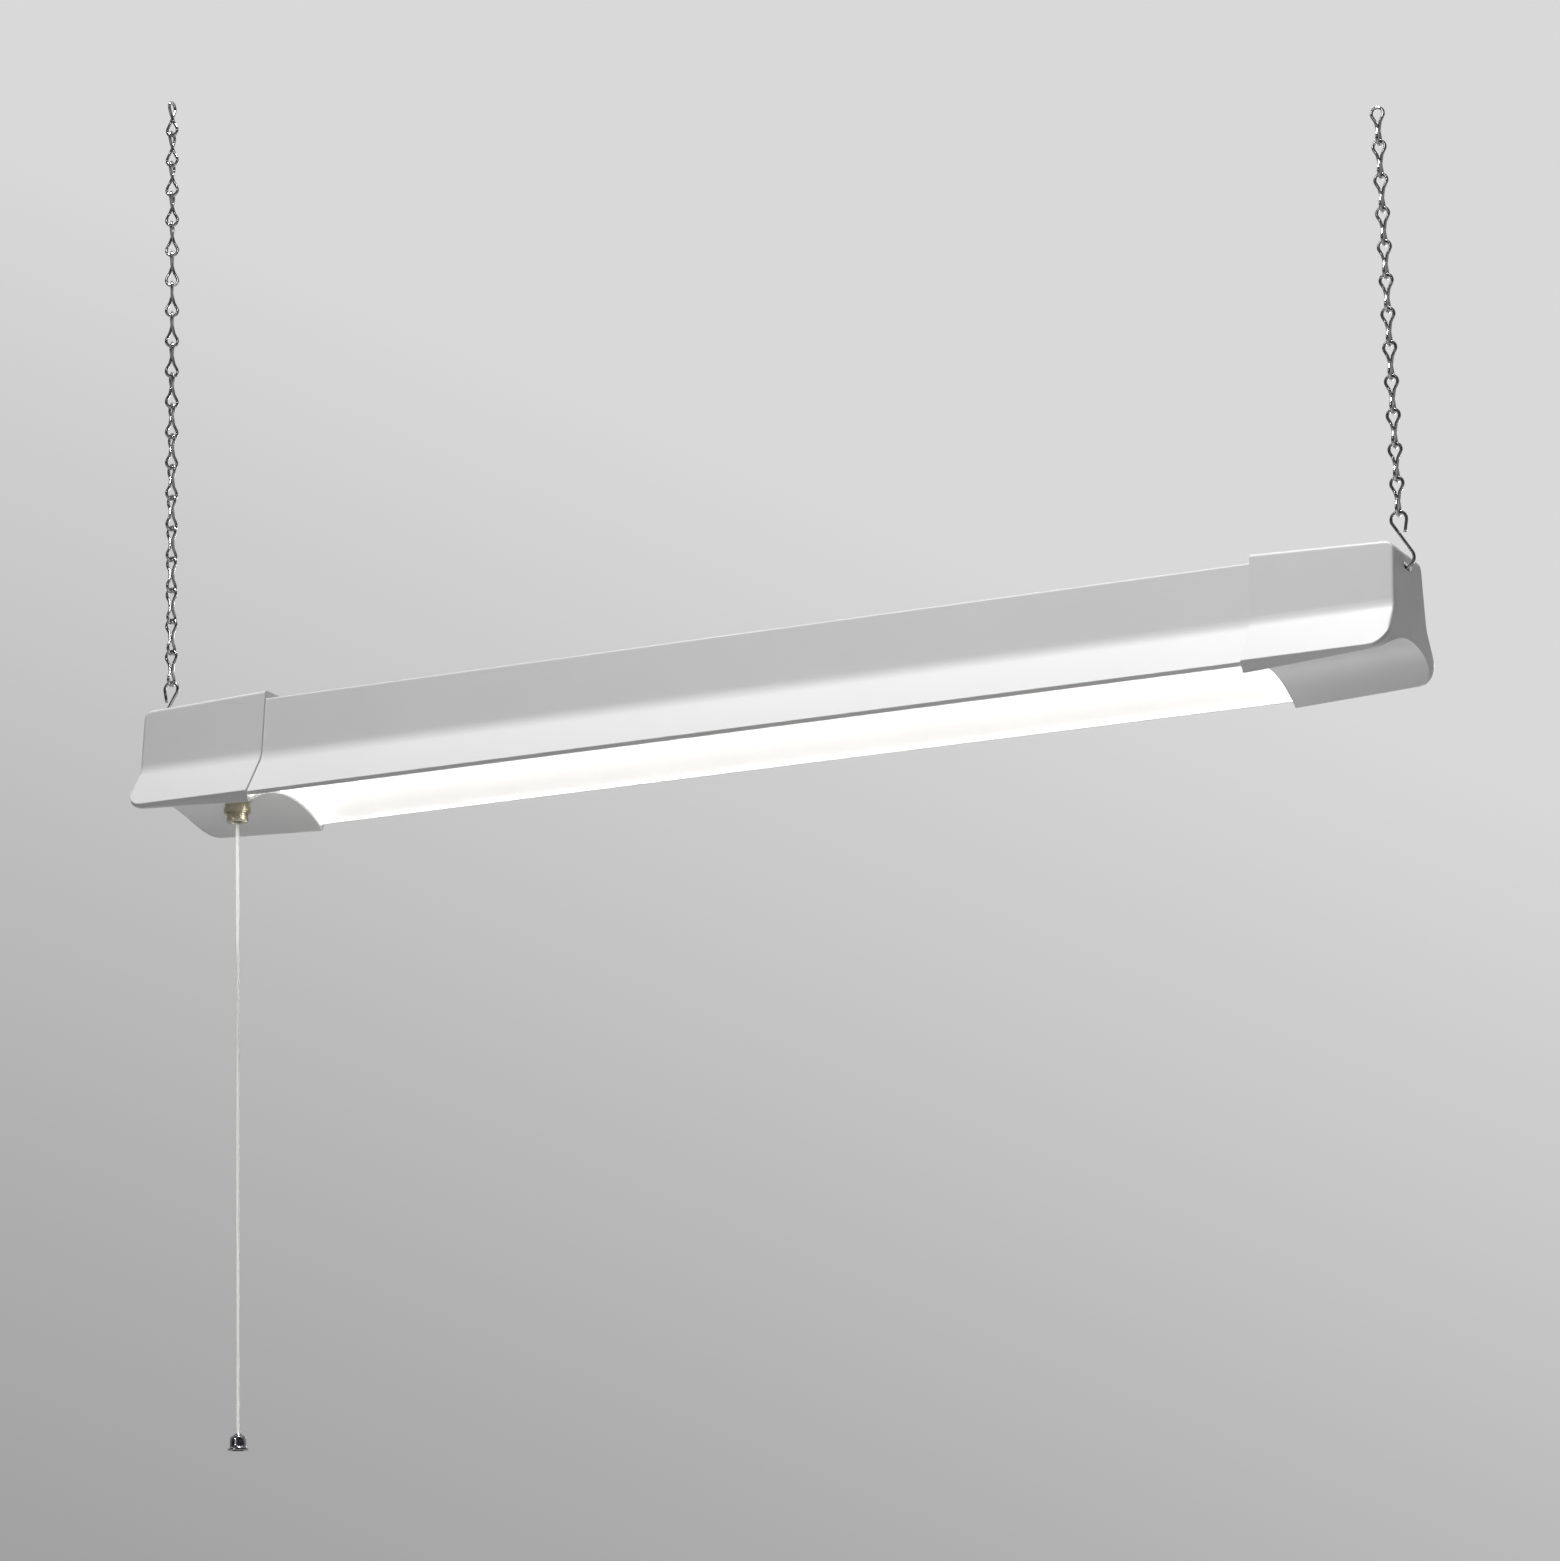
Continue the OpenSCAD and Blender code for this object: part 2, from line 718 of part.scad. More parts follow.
// Ring nut that clamps the switch to the vault, with a grip of flats round it
module nozzle_nut() {
  color(brass) hung() translate([nozzle_x, 0, 0]) difference() {
    union() {
      translate([0, 0, -nozzle_nut_bottom]) cylinder(d = 24, h = nozzle_nut_bottom - nozzle_top - 1.6);
      translate([0, 0, -nozzle_top - 1.6]) cylinder(d = 26, h = 1.6);
      translate([0, 0, -nozzle_nut_bottom + 1.4]) cylinder(d = 26, h = 4.4);
    }
    translate([0, 0, -nozzle_bottom]) cylinder(r = neck_r + 0.1, h = 40);
  }
}

// Brass nozzle screwed on the neck, with a rounded mouth that the cord runs over
module switch_nozzle() {
  mouth = 1.5;
  lip = 10.2;
  h = nozzle_bottom - nozzle_nut_bottom - 0.1;
  color(brass) hung() translate([nozzle_x, 0, -nozzle_bottom]) rotate_extrude() difference() {
    union() {
      translate([nozzle_bore, mouth]) square([lip - nozzle_bore, h - mouth]);
      translate([nozzle_bore + mouth, 0]) square([lip - nozzle_bore - 2 * mouth, 2 * mouth]);
      for (x = [nozzle_bore + mouth, lip - mouth])
        translate([x, mouth]) circle(r = mouth);
    }
    translate([0, h - 2.3]) square([neck_r + 0.1, 3]);
    translate([lip - 0.7, h - 3]) square([2, 1.2]);
  }
}

// Rod that works the switch, with an eye at its lower end
module pull_rod() {
  color(steel) hung() translate([nozzle_x, 0, 0]) {
    translate([0, 0, -rod_eye + 1.6]) cylinder(r = 0.8, h = rod_eye - 66);
    translate([0, 0, -66]) cylinder(r = 2.6, h = 2);
    translate([0, 0, -rod_eye]) rotate([90, 0, 0])
      rotate_extrude() translate([1.9, 0]) circle(r = 0.55, $fn = 24);
  }
}

// Ring between the rod's eye and the cord
module cord_ring() {
  color(steel) hung() translate([nozzle_x, 0, -ring_z]) rotate([0, 90, 0])
    rotate_extrude() translate([2.2, 0]) circle(r = 0.5, $fn = 24);
}

// Rings of the cord: each stretch of the route is cut into steps of about cord_step
function route_cuts(i) = max(1, round(norm(cord_route[i + 1] - cord_route[i]) / cord_step));
cord_centres = concat([cord_route[0]],
  [for (i = [0:len(cord_route) - 2]) let (n = route_cuts(i))
    for (k = [1:n]) cord_route[i] + (cord_route[i + 1] - cord_route[i]) * k / n]);

module pull_cord() {
  n = cord_sides;
  rings = len(cord_centres);
  color(white) polyhedron(
    points = [for (c = cord_centres, a = [0:n - 1])
      c + cord_d / 2 * [cos(360 * a / n), sin(360 * a / n), 0]],
    faces = concat([[for (a = [n - 1:-1:0]) a]], [[for (a = [0:n - 1]) (rings - 1) * n + a]],
      [for (r = [0:rings - 2], a = [0:n - 1]) let (b = (a + 1) % n)
        each [[r * n + a, r * n + b, (r + 1) * n + b], [r * n + a, (r + 1) * n + b, (r + 1) * n + a]]]));
}

// Knot under the bell that carries it
module cord_knot() {
  color(white) hung() translate([nozzle_x, 0, -bell_top - 11.4]) {
    sphere(d = 6, $fn = 24);
    cylinder(d = cord_d, h = 3.9);
  }
}

// Small bell on the end of the cord, open below
module cord_bell() {
  color([0.3, 0.3, 0.32]) hung() translate([nozzle_x, 0, -bell_top - bell_h]) rotate_extrude() difference() {
    polygon(concat([[0, 0], [9.5, 0], [9.5, 1.2]],
      [for (a = [0:15:90]) [7.6 + 1.6 * (1 - sin(a)), 1.6 + 3.4 * (1 - cos(a))]],
      [for (a = [0:10:80]) [3.4 + 4.2 * cos(a), 9.6 + 4.4 * sin(a)]],
      [[3.4, bell_h], [0, bell_h]]));
    square([cord_d / 2 + 0.2, bell_h + 1]);
    square([5.6, 5]);
    translate([0, 5]) scale([1, 0.55]) circle(r = 5.6);
  }
}

// ---- chains and hooks ----

// Link: a teardrop eye in the XZ plane over one in the YZ plane, joined at the waist
module eye() {
  rise = link_reach - loop_r;
  lean = asin(loop_r / rise);
  translate([0, 0, rise]) rotate([90, 0, 0]) rotate([0, 0, -lean])
    rotate_extrude(angle = 180 + 2 * lean) translate([loop_r, 0]) circle(d = wire, $fn = 24);
  for (s = [-1, 1])
    rotate([0, s * lean, 0]) cylinder(d = wire - joint_step, h = rise * cos(lean) + joint_lap, $fn = 24);
}

module link() {
  eye();
  rotate([180, 0, 90]) eye();
  sphere(d = wire + 0.5, $fn = 24);
}

// Links first to last of a chain, counted up from the hook, each turned by twist on the one below
module links(first, last, twist) {
  for (i = [first:last])
    translate([chain_x, 0, chain_low + (i + 0.5) * pitch]) rotate([0, 0, i * twist]) link();
}

// Bar of round wire between two points in the XZ plane, let a little way into the arcs it joins
module bar(p, q) {
  d = q - p;
  start = p - unit(d) * joint_lap;
  translate([start[0], 0, start[1]]) rotate([0, 90 - atan2(d[1], d[0]), 0])
    cylinder(d = wire - joint_step, h = norm(d) + 2 * joint_lap, $fn = 24);
}

// Arc of round wire in the XZ plane, from angle a0 to the larger angle a1
module arc(centre, r, a0, a1) {
  translate([centre[0], 0, centre[1]]) rotate([90, 0, 0]) rotate([0, 0, a0])
    rotate_extrude(angle = a1 - a0) translate([r, 0]) circle(d = wire, $fn = 24);
}

// S-hook of the right-hand end: its eye takes the chain, its seat goes through the slot
module s_hook() {
  d = hook_seat - hook_eye;
  beta = acos((hook_eye_r + hook_r) / norm(d));
  a = atan2(d[1], d[0]) - beta;
  u = [cos(a), sin(a)];
  tail_a = -10;
  tail = hook_eye + hook_eye_r * [cos(tail_a), sin(tail_a)];
  arc(hook_eye, hook_eye_r, tail_a, a + 360);
  bar(tail, tail + 11 * [sin(tail_a), -cos(tail_a)]);
  bar(hook_eye + hook_eye_r * u, hook_seat - hook_r * u);
  arc(hook_seat, hook_r, -170, a + 180);
}

module left_s_hook() {
  color(steel) hung() at_left() s_hook();
}

module right_s_hook() {
  color(steel) hung() translate([0, 0, -right_slack]) s_hook();
}

module left_top_link() {
  color(steel) hung() at_left() links(left_links - 1, left_links - 1, left_twist);
}

module left_second_link() {
  color(steel) hung() at_left() links(left_links - 2, left_links - 2, left_twist);
}

module left_chain() {
  color(steel) hung() at_left() links(0, left_links - 3, left_twist);
}

module right_top_link() {
  color(steel) hung() translate([0, 0, -right_slack]) links(right_links - 1, right_links - 1, 0);
}

module right_second_link() {
  color(steel) hung() translate([0, 0, -right_slack]) links(right_links - 2, right_links - 2, 0);
}

module right_chain() {
  color(steel) hung() translate([0, 0, -right_slack]) links(0, right_links - 3, 0);
}

reflector_housing();
left_end_cap();
right_end_cap();
left_end_plate();
right_end_plate();
plate_rivets();
left_cap_screws();
right_cap_screws();
ballast_cover();
cover_screws();
ballast();
ballast_screws();
left_front_lampholder();
left_rear_lampholder();
right_front_lampholder();
right_rear_lampholder();
lampholder_screws();
front_lamp_rotors();
rear_lamp_rotors();
front_lamp_tube();
rear_lamp_tube();
front_lamp_bases();
rear_lamp_bases();
front_lamp_pins();
rear_lamp_pins();
switch_body();
switch_nozzle();
nozzle_nut();
pull_rod();
cord_ring();
pull_cord();
cord_knot();
cord_bell();
lead_bushing();
ground_screw();
left_lamp_leads();
right_lamp_leads();
left_s_hook();
right_s_hook();
left_top_link();
right_top_link();
left_second_link();
right_second_link();
left_chain();
right_chain();
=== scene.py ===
import json
import math
from collections import namedtuple

import bmesh
import bpy
from mathutils import Matrix, Vector


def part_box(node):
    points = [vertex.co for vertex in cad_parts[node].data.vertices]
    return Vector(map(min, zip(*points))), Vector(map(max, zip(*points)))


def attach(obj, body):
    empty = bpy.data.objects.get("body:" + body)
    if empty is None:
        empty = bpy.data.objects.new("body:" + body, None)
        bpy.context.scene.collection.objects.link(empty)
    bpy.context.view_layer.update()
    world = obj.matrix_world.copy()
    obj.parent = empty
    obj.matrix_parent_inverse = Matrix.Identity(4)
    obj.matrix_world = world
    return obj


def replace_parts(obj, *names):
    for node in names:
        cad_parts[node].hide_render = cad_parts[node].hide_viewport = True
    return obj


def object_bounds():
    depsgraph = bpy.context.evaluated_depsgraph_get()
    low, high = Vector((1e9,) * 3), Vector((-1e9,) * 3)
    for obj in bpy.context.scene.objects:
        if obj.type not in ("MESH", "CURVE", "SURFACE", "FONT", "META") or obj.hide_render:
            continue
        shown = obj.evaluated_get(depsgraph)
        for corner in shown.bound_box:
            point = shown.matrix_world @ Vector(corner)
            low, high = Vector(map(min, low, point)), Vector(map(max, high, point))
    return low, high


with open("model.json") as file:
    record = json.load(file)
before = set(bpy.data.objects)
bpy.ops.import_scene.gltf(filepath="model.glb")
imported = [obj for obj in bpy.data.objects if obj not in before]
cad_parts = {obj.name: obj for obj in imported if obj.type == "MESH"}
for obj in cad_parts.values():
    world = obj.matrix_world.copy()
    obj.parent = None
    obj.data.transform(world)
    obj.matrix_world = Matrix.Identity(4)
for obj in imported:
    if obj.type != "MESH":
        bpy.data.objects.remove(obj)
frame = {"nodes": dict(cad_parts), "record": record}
cad_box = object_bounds()
nodes = frame["nodes"]
MM = 0.001

# ---- camera: where it stood, how it was turned, and its lens ----

CAMERA_PLACE = Vector((2.5039, -4.2864, -1.8534))
CAMERA_AZIMUTH = math.radians(23.607)
CAMERA_RISE = math.radians(13.227)
CAMERA_ROLL = math.radians(-1.4326)
CAMERA_LENS = 123.13
CAMERA_SENSOR = 36
CAMERA_REACH = 60


def camera_axes():
    """Right, up and viewing directions of the camera in the part's frame."""
    ca, sa = math.cos(CAMERA_AZIMUTH), math.sin(CAMERA_AZIMUTH)
    ce, se = math.cos(CAMERA_RISE), math.sin(CAMERA_RISE)
    ahead = Vector((-sa * ce, ca * ce, se))
    level = Vector((ca, sa, 0))
    upright = level.cross(ahead)
    cr, sr = math.cos(CAMERA_ROLL), math.sin(CAMERA_ROLL)
    return cr * level + sr * upright, cr * upright - sr * level, ahead


right, up, ahead = camera_axes()
camera = bpy.data.objects.new("camera", bpy.data.cameras.new("camera"))
bpy.context.scene.collection.objects.link(camera)
facing = Matrix((right, up, -ahead)).transposed()
camera.matrix_world = Matrix.Translation(CAMERA_PLACE) @ facing.to_4x4()
camera.data.lens = CAMERA_LENS
camera.data.sensor_width = CAMERA_SENSOR
camera.data.clip_end = CAMERA_REACH
bpy.context.scene.camera = camera

# ---- material helpers ----

# Sockets of a Mix node for colours
MIX_FACTOR, MIX_LOW, MIX_HIGH, MIX_RESULT = 0, 6, 7, 2
# The stretch of a noise's values that most of a surface has
NOISE_LOW, NOISE_HIGH = 0.3, 0.7


def grey(value):
    return (value, value, value)


class Graph:
    """A node tree, with short calls for making and joining its nodes."""

    def __init__(self, tree):
        self.tree = tree

    def node(self, kind, **values):
        made = self.tree.nodes.new(kind)
        for key, value in values.items():
            if key in made.bl_rna.properties:
                setattr(made, key, value)
            else:
                made.inputs[key.replace("_", " ")].default_value = value
        return made

    def link(self, a, b):
        self.tree.links.new(a, b)

    def math(self, operation, *terms):
        """A math node, whose terms are numbers or the outputs of other nodes."""
        made = self.node("ShaderNodeMath", operation=operation)
        for socket, term in zip(made.inputs, terms):
            if isinstance(term, (int, float)):
                socket.default_value = term
            else:
                self.link(term, socket)
        return made.outputs[0]

    def spread(self, value, from_low, from_high, low, high):
        """Maps one range of a value on to another, and holds it at their ends."""
        made = self.node("ShaderNodeMapRange", From_Min=from_low, From_Max=from_high,
                         To_Min=low, To_Max=high)
        self.link(value, made.inputs["Value"])
        return made.outputs["Result"]

    def switch(self, factor, low, high):
        """The first shader where the factor is 0, and the second where it is 1."""
        made = self.node("ShaderNodeMixShader")
        self.link(factor, made.inputs[0])
        self.link(low.outputs[0], made.inputs[1])
        self.link(high.outputs[0], made.inputs[2])
        return made.outputs[0]

    def seen_rays(self):
        """1 on rays of the camera, of mirrors and of glass, and 0 on rays that light things."""
        rays = self.node("ShaderNodeLightPath").outputs
        mirrored = self.math("MAXIMUM", rays["Is Glossy Ray"], rays["Is Transmission Ray"])
        return self.math("MAXIMUM", mirrored, rays["Is Camera Ray"])


class Shader(Graph):
    """A material round a Principled shader."""

    def __init__(self, name, color, roughness, metallic=0.0, **sockets):
        self.material = bpy.data.materials.new(name)
        self.material.use_nodes = True
        super().__init__(self.material.node_tree)
        self.bsdf = self.tree.nodes["Principled BSDF"]
        self.bsdf.inputs["Base Color"].default_value = (*color, 1)
        self.bsdf.inputs["Roughness"].default_value = roughness
        self.bsdf.inputs["Metallic"].default_value = metallic
        for socket, value in sockets.items():
            self.bsdf.inputs[socket.replace("_", " ")].default_value = value
        self.coordinates = self.node("ShaderNodeTexCoord").outputs

    def split(self, coordinate):
        """The X, Y and Z outputs of one kind of coordinate."""
        made = self.node("ShaderNodeSeparateXYZ")
        self.link(self.coordinates[coordinate], made.inputs[0])
        return made.outputs

    def noise(self, scale, detail=2.0, squash=None):
        made = self.node("ShaderNodeTexNoise", Scale=scale, Detail=detail)
        place = self.coordinates["Object"]
        if squash is not None:
            stretch = self.node("ShaderNodeMapping", Scale=squash)
            self.link(place, stretch.inputs["Vector"])
            place = stretch.outputs["Vector"]
        self.link(place, made.inputs["Vector"])
        return made.outputs["Fac"]

    def ramp(self, noise, low, high):
        """Maps the middle of a noise on to the range from low to high."""
        return self.spread(noise, NOISE_LOW, NOISE_HIGH, low, high)

    def mix(self, factor, low, high):
        """A colour between two others."""
        made = self.node("ShaderNodeMix", data_type="RGBA")
        self.link(factor, made.inputs[MIX_FACTOR])
        made.inputs[MIX_LOW].default_value = (*low, 1)
        made.inputs[MIX_HIGH].default_value = (*high, 1)
        return made.outputs[MIX_RESULT]

    def product(self, one, other):
        """One colour times another."""
        made = self.node("ShaderNodeMix", data_type="RGBA", blend_type="MULTIPLY")
        made.inputs[MIX_FACTOR].default_value = 1
        self.link(one, made.inputs[MIX_LOW])
        self.link(other, made.inputs[MIX_HIGH])
        return made.outputs[MIX_RESULT]

    def mottle(self, noise, low, high):
        """A colour that wanders between two others as a noise does."""
        return self.mix(self.ramp(noise, 0, 1), low, high)

    def color(self, value):
        self.link(value, self.bsdf.inputs["Base Color"])

    def roughness(self, noise, low, high):
        self.link(self.ramp(noise, low, high), self.bsdf.inputs["Roughness"])

    def bump(self, height, distance, strength=1.0):
        made = self.node("ShaderNodeBump", Distance=distance, Strength=strength)
        self.link(height, made.inputs["Height"])
        self.link(made.outputs["Normal"], self.bsdf.inputs["Normal"])


# ---- materials ----

# Middle of the light's length, and how far from it the caps' rims stand
MIDDLE_X = (cad_box[0][0] + cad_box[1][0]) / 2
RIM_X = MIDDLE_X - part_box("left_end_cap")[1][0]
# Painted shade on the cut faces of the caps' rims: full within this distance of a rim, gone at twice it;
# RIM_SHADE is its grey
RIM_SHADE_REACH = 0.4 * MM
# How squarely a face looks along X where the painted shade of a rim starts, and where it is full
RIM_FACING = (0.6, 0.9)
RIM_SHADE = 0.42

LAMP_GLOW = 4.5
LAMP_TINT = (1.0, 0.98, 0.945, 1)

# The cord's braid: strands round it each way, and the length of one turn
BRAID_STRANDS = 5
BRAID_PITCH = 5 * MM


def white_paint():
    s = Shader("white_enamel", grey(0.88), 0.44, Coat_Weight=0.06, Coat_Roughness=0.15,
               Specular_IOR_Level=0.3)
    s.color(s.mottle(s.noise(scale=6), low=grey(0.865), high=grey(0.89)))
    s.roughness(s.noise(scale=30), low=0.40, high=0.48)
    s.bump(s.noise(scale=260, detail=3), distance=0.04 * MM, strength=0.5)
    return s.material


def white_plastic():
    """Satin moulding, with painted shade greying the cut face of the rim where a cap meets the reflector.
    """
    s = Shader("moulded_white", grey(0.85), 0.42, Coat_Weight=0.08, Coat_Roughness=0.12,
               Specular_IOR_Level=0.3)
    from_middle = s.math("ABSOLUTE", s.math("SUBTRACT", s.split("Object")["X"], MIDDLE_X))
    from_rim = s.math("SUBTRACT", from_middle, RIM_X)
    near = s.spread(from_rim, RIM_SHADE_REACH, 2 * RIM_SHADE_REACH, 1, 0)
    square = s.spread(s.math("ABSOLUTE", s.split("Normal")["X"]), *RIM_FACING, 0, 1)
    # Painted shade: greys the faces near each rim that look along X
    rim = s.mix(s.math("MULTIPLY", near, square), low=grey(1), high=grey(RIM_SHADE))
    base = s.mottle(s.noise(scale=9), low=grey(0.85), high=grey(0.875))
    s.color(s.product(base, rim))
    s.roughness(s.noise(scale=45, detail=4), low=0.38, high=0.46)
    s.bump(s.noise(scale=900), distance=0.03 * MM, strength=0.6)
    return s.material


def holder_plastic():
    s = Shader("holder_white", (0.85, 0.85, 0.82), 0.55)
    s.color(s.mottle(s.noise(scale=60), low=(0.83, 0.83, 0.80), high=(0.88, 0.88, 0.86)))
    s.roughness(s.noise(scale=300), low=0.5, high=0.62)
    return s.material


def bright_wire():
    s = Shader("bright_wire", (0.38, 0.38, 0.39), 0.14, 1.0)
    s.color(s.mottle(s.noise(scale=180, detail=4), low=(0.30, 0.30, 0.31), high=grey(0.46)))
    s.roughness(s.noise(scale=420, detail=4), low=0.08, high=0.24)
    s.bump(s.noise(scale=700, detail=3), distance=0.04 * MM, strength=0.5)
    return s.material


def zinc():
    s = Shader("zinc_plate", (0.66, 0.67, 0.69), 0.32, 1.0)
    s.color(s.mottle(s.noise(scale=120, detail=5), low=(0.56, 0.57, 0.58), high=(0.74, 0.75, 0.78)))
    s.roughness(s.noise(scale=260, detail=4), low=0.24, high=0.42)
    return s.material


def turned_brass():
    """Brass with fine turning marks round its axis."""
    s = Shader("turned_brass", (0.47, 0.43, 0.33), 0.28, 1.0)
    marks = s.noise(scale=160, squash=(0.4, 0.4, 40))
    s.color(s.mottle(s.noise(scale=140, detail=4), low=(0.36, 0.325, 0.24), high=(0.56, 0.52, 0.40)))
    s.roughness(marks, low=0.20, high=0.38)
    s.bump(marks, distance=0.03 * MM, strength=0.5)
    return s.material


def dark_metal():
    s = Shader("dark_plate", (0.20, 0.20, 0.21), 0.18, 1.0)
    s.color(s.mottle(s.noise(scale=240, detail=3), low=(0.10, 0.10, 0.11), high=(0.30, 0.30, 0.32)))
    s.roughness(s.noise(scale=300, detail=3), low=0.10, high=0.26)
    return s.material


def lamp_base():
    """Aluminium cup with stamping marks round it."""
    s = Shader("stamped_aluminium", (0.78, 0.79, 0.80), 0.28, 1.0)
    s.color(s.mottle(s.noise(scale=90), low=(0.70, 0.71, 0.72), high=(0.84, 0.85, 0.86)))
    s.roughness(s.noise(scale=200, detail=3, squash=(60, 1, 1)), low=0.2, high=0.4)
    return s.material


def lamp_glass():
    s = Shader("lit_tube", (0.93, 0.93, 0.90), 0.22, Emission_Color=LAMP_TINT,
               Emission_Strength=LAMP_GLOW)
    s.color(s.mottle(s.noise(scale=20), low=(0.92, 0.92, 0.89), high=(0.95, 0.95, 0.93)))
    return s.material


def braided_cord():
    """White cord: strands cross round it in both directions."""
    s = Shader("braid", (0.90, 0.90, 0.88), 0.75, Sheen_Weight=0.3)
    uv = s.split("UV")
    across = s.math("MULTIPLY", uv["X"], 2 * math.pi * BRAID_STRANDS)
    along = s.math("MULTIPLY", uv["Y"], 2 * math.pi)
    one = s.math("SINE", s.math("ADD", along, across))
    two = s.math("SINE", s.math("SUBTRACT", along, across))
    weave = s.math("MAXIMUM", one, two)
    s.color(s.mix(s.spread(weave, -1, 1, 0, 1), low=(0.86, 0.86, 0.84), high=(0.93, 0.93, 0.91)))
    s.bump(weave, distance=0.1 * MM, strength=0.5)
    return s.material


def plain(name, color, roughness, scale, metallic=0.0):
    """A plain finish whose tone and gloss vary a little over the surface."""
    darker, paler = 0.85, 1.12
    smoother, rougher = 0.85, 1.2
    s = Shader(name, color, roughness, metallic)
    low = [darker * c for c in color]
    high = [min(1, paler * c) for c in color]
    s.color(s.mottle(s.noise(scale, detail=3), low, high))
    s.roughness(s.noise(2 * scale, detail=3), smoother * roughness, min(1, rougher * roughness))
    return s.material


finish = {
    "white_paint": white_paint(),
    "white_plastic": white_plastic(),
    "holder_plastic": holder_plastic(),
    "bright_steel": bright_wire(),
    "zinc_steel": zinc(),
    "brass": turned_brass(),
    "bell_metal": dark_metal(),
    "lamp_base": lamp_base(),
    "lamp_glass": lamp_glass(),
    "cord_white": braided_cord(),
    "switch_black": plain("switch_case", grey(0.035), roughness=0.5, scale=150),
    "bushing_black": plain("nylon", grey(0.03), roughness=0.45, scale=200),
    "lead_yellow": plain("lead_cover", (0.42, 0.34, 0.09), roughness=0.45, scale=90),
    "ground_green": plain("green_steel", (0.05, 0.28, 0.12), roughness=0.35, scale=200, metallic=1.0),
    "ballast_can": plain("ballast_paint", (0.74, 0.75, 0.76), roughness=0.4, scale=40),
}
for part in frame["record"]["subparts"]:
    node = nodes[part["node"]]
    node.data.materials.clear()
    node.data.materials.append(finish[part["material_slot"]])

# ---- mesh helpers ----


def mesh_object(name, mesh, slot, body):
    """A smooth piece of one finish, which rides on a body."""
    obj = bpy.data.objects.new(name, mesh)
    bpy.context.scene.collection.objects.link(obj)
    mesh.materials.append(finish[slot])
    for face in mesh.polygons:
        face.use_smooth = True
    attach(obj, body)
    return obj


def wire_rings(bm, path, radius, sides, closed):
    """Adds a round wire along a path of points, keeping its section square to it."""
    count = len(path)
    uv = bm.loops.layers.uv.verify()
    if closed:
        ways = [(path[(i + 1) % count] - path[i - 1]).normalized() for i in range(count)]
    else:
        padded = [path[0]] + path + [path[-1]]
        ways = [(after - before).normalized() for before, after in zip(padded, padded[2:])]
    side = ways[0].orthogonal().normalized()
    axes = []
    for way in ways:
        side = (side - way * side.dot(way)).normalized()
        axes.append((side.copy(), way.cross(side)))
    twist = 0.0
    if closed:
        last = (side - ways[0] * side.dot(ways[0])).normalized()
        twist = math.atan2(last.dot(axes[0][1]), last.dot(axes[0][0]))
    rings = []
    for i, (point, (a, b)) in enumerate(zip(path, axes)):
        ring = []
        for k in range(sides):
            angle = 2 * math.pi * k / sides - twist * i / count
            ring.append(bm.verts.new(point + radius * (math.cos(angle) * a + math.sin(angle) * b)))
        rings.append(ring)
    run = 0.0
    for i in range(count if closed else count - 1):
        one, two = rings[i], rings[(i + 1) % count]
        step = (path[(i + 1) % count] - path[i]).length
        for k in range(sides):
            j = (k + 1) % sides
            face = bm.faces.new((one[k], one[j], two[j], two[k]))
            corners = ((k, run), (k + 1, run), (k + 1, run + step), (k, run + step))
            for loop, (u, v) in zip(face.loops, corners):
                loop[uv].uv = (u / sides, v)
        run += step
    if not closed:
        bm.faces.new(list(reversed(rings[0])))
        bm.faces.new(rings[-1])


def wire_mesh(name, paths, radius, sides, closed=False):
    bm = bmesh.new()
    for path in paths:
        wire_rings(bm, path, radius, sides, closed)
    mesh = bpy.data.meshes.new(name)
    bm.to_mesh(mesh)
    bm.free()
    return mesh


def arc_points(centre, radius, start, end, count):
    """Points of an arc in the XZ plane, its angles in degrees."""
    angles = [math.radians(start + (end - start) * i / count) for i in range(count + 1)]
    return [centre + radius * Vector((math.cos(a), 0, math.sin(a))) for a in angles]


# ---- pull cord: the route of the CAD cord, in metres ----

CORD_D = 3.4 * MM
CORD_SIDES = 16
CORD_ROUTE = [Vector(p) * MM for p in (
    (72, 0, -728), (72, 0, -740), (72, 0, -770), (72.1, 0, -810),
    (72.2, 0.1, -850), (72.2, 0.1, -890), (72.1, 0.1, -930), (72, 0, -970),
    (71.9, 0, -1010), (71.9, -0.1, -1050), (71.9, -0.1, -1090), (72, -0.1, -1130),
    (72.1, 0, -1170), (72.1, 0, -1210), (72, 0, -1250), (72, 0, -1280), (72, 0, -1311.5))]


def cord_path():
    """The route in steps of about a diameter."""
    points = [CORD_ROUTE[0]]
    for a, b in zip(CORD_ROUTE, CORD_ROUTE[1:]):
        steps = max(1, round((b - a).length / CORD_D))
        points += [a.lerp(b, k / steps) for k in range(1, steps + 1)]
    return points


def cord_mesh():
    """The cord's tube, with V counting the turns of its braid."""
    mesh = wire_mesh("pull_cord_braid", [cord_path()], CORD_D / 2, CORD_SIDES)
    for layer in mesh.uv_layers:
        for item in layer.data:
            item.uv.y /= BRAID_PITCH
    return mesh


cord = mesh_object("pull_cord_braid", cord_mesh(), "cord_white", "pull_cord")
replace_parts(cord, "pull_cord")
cord_path()

# ---- chains: links of round wire. The part's origin is the eye at the top of the left chain ----

PITCH = 30.8 * MM
WIRE_R = 1.5 * MM
# From the middle of one wire to the middle of the next, where two links hang in each other
CONTACT = 3.3 * MM
LOOP_R = 5.5 * MM
LOOP_STEPS = 20
LINK_SIDES = 14
# The leg's points, as shares of its way from the link's middle to the loop
LEG_LOW, LEG_HIGH = 0.45, 0.75
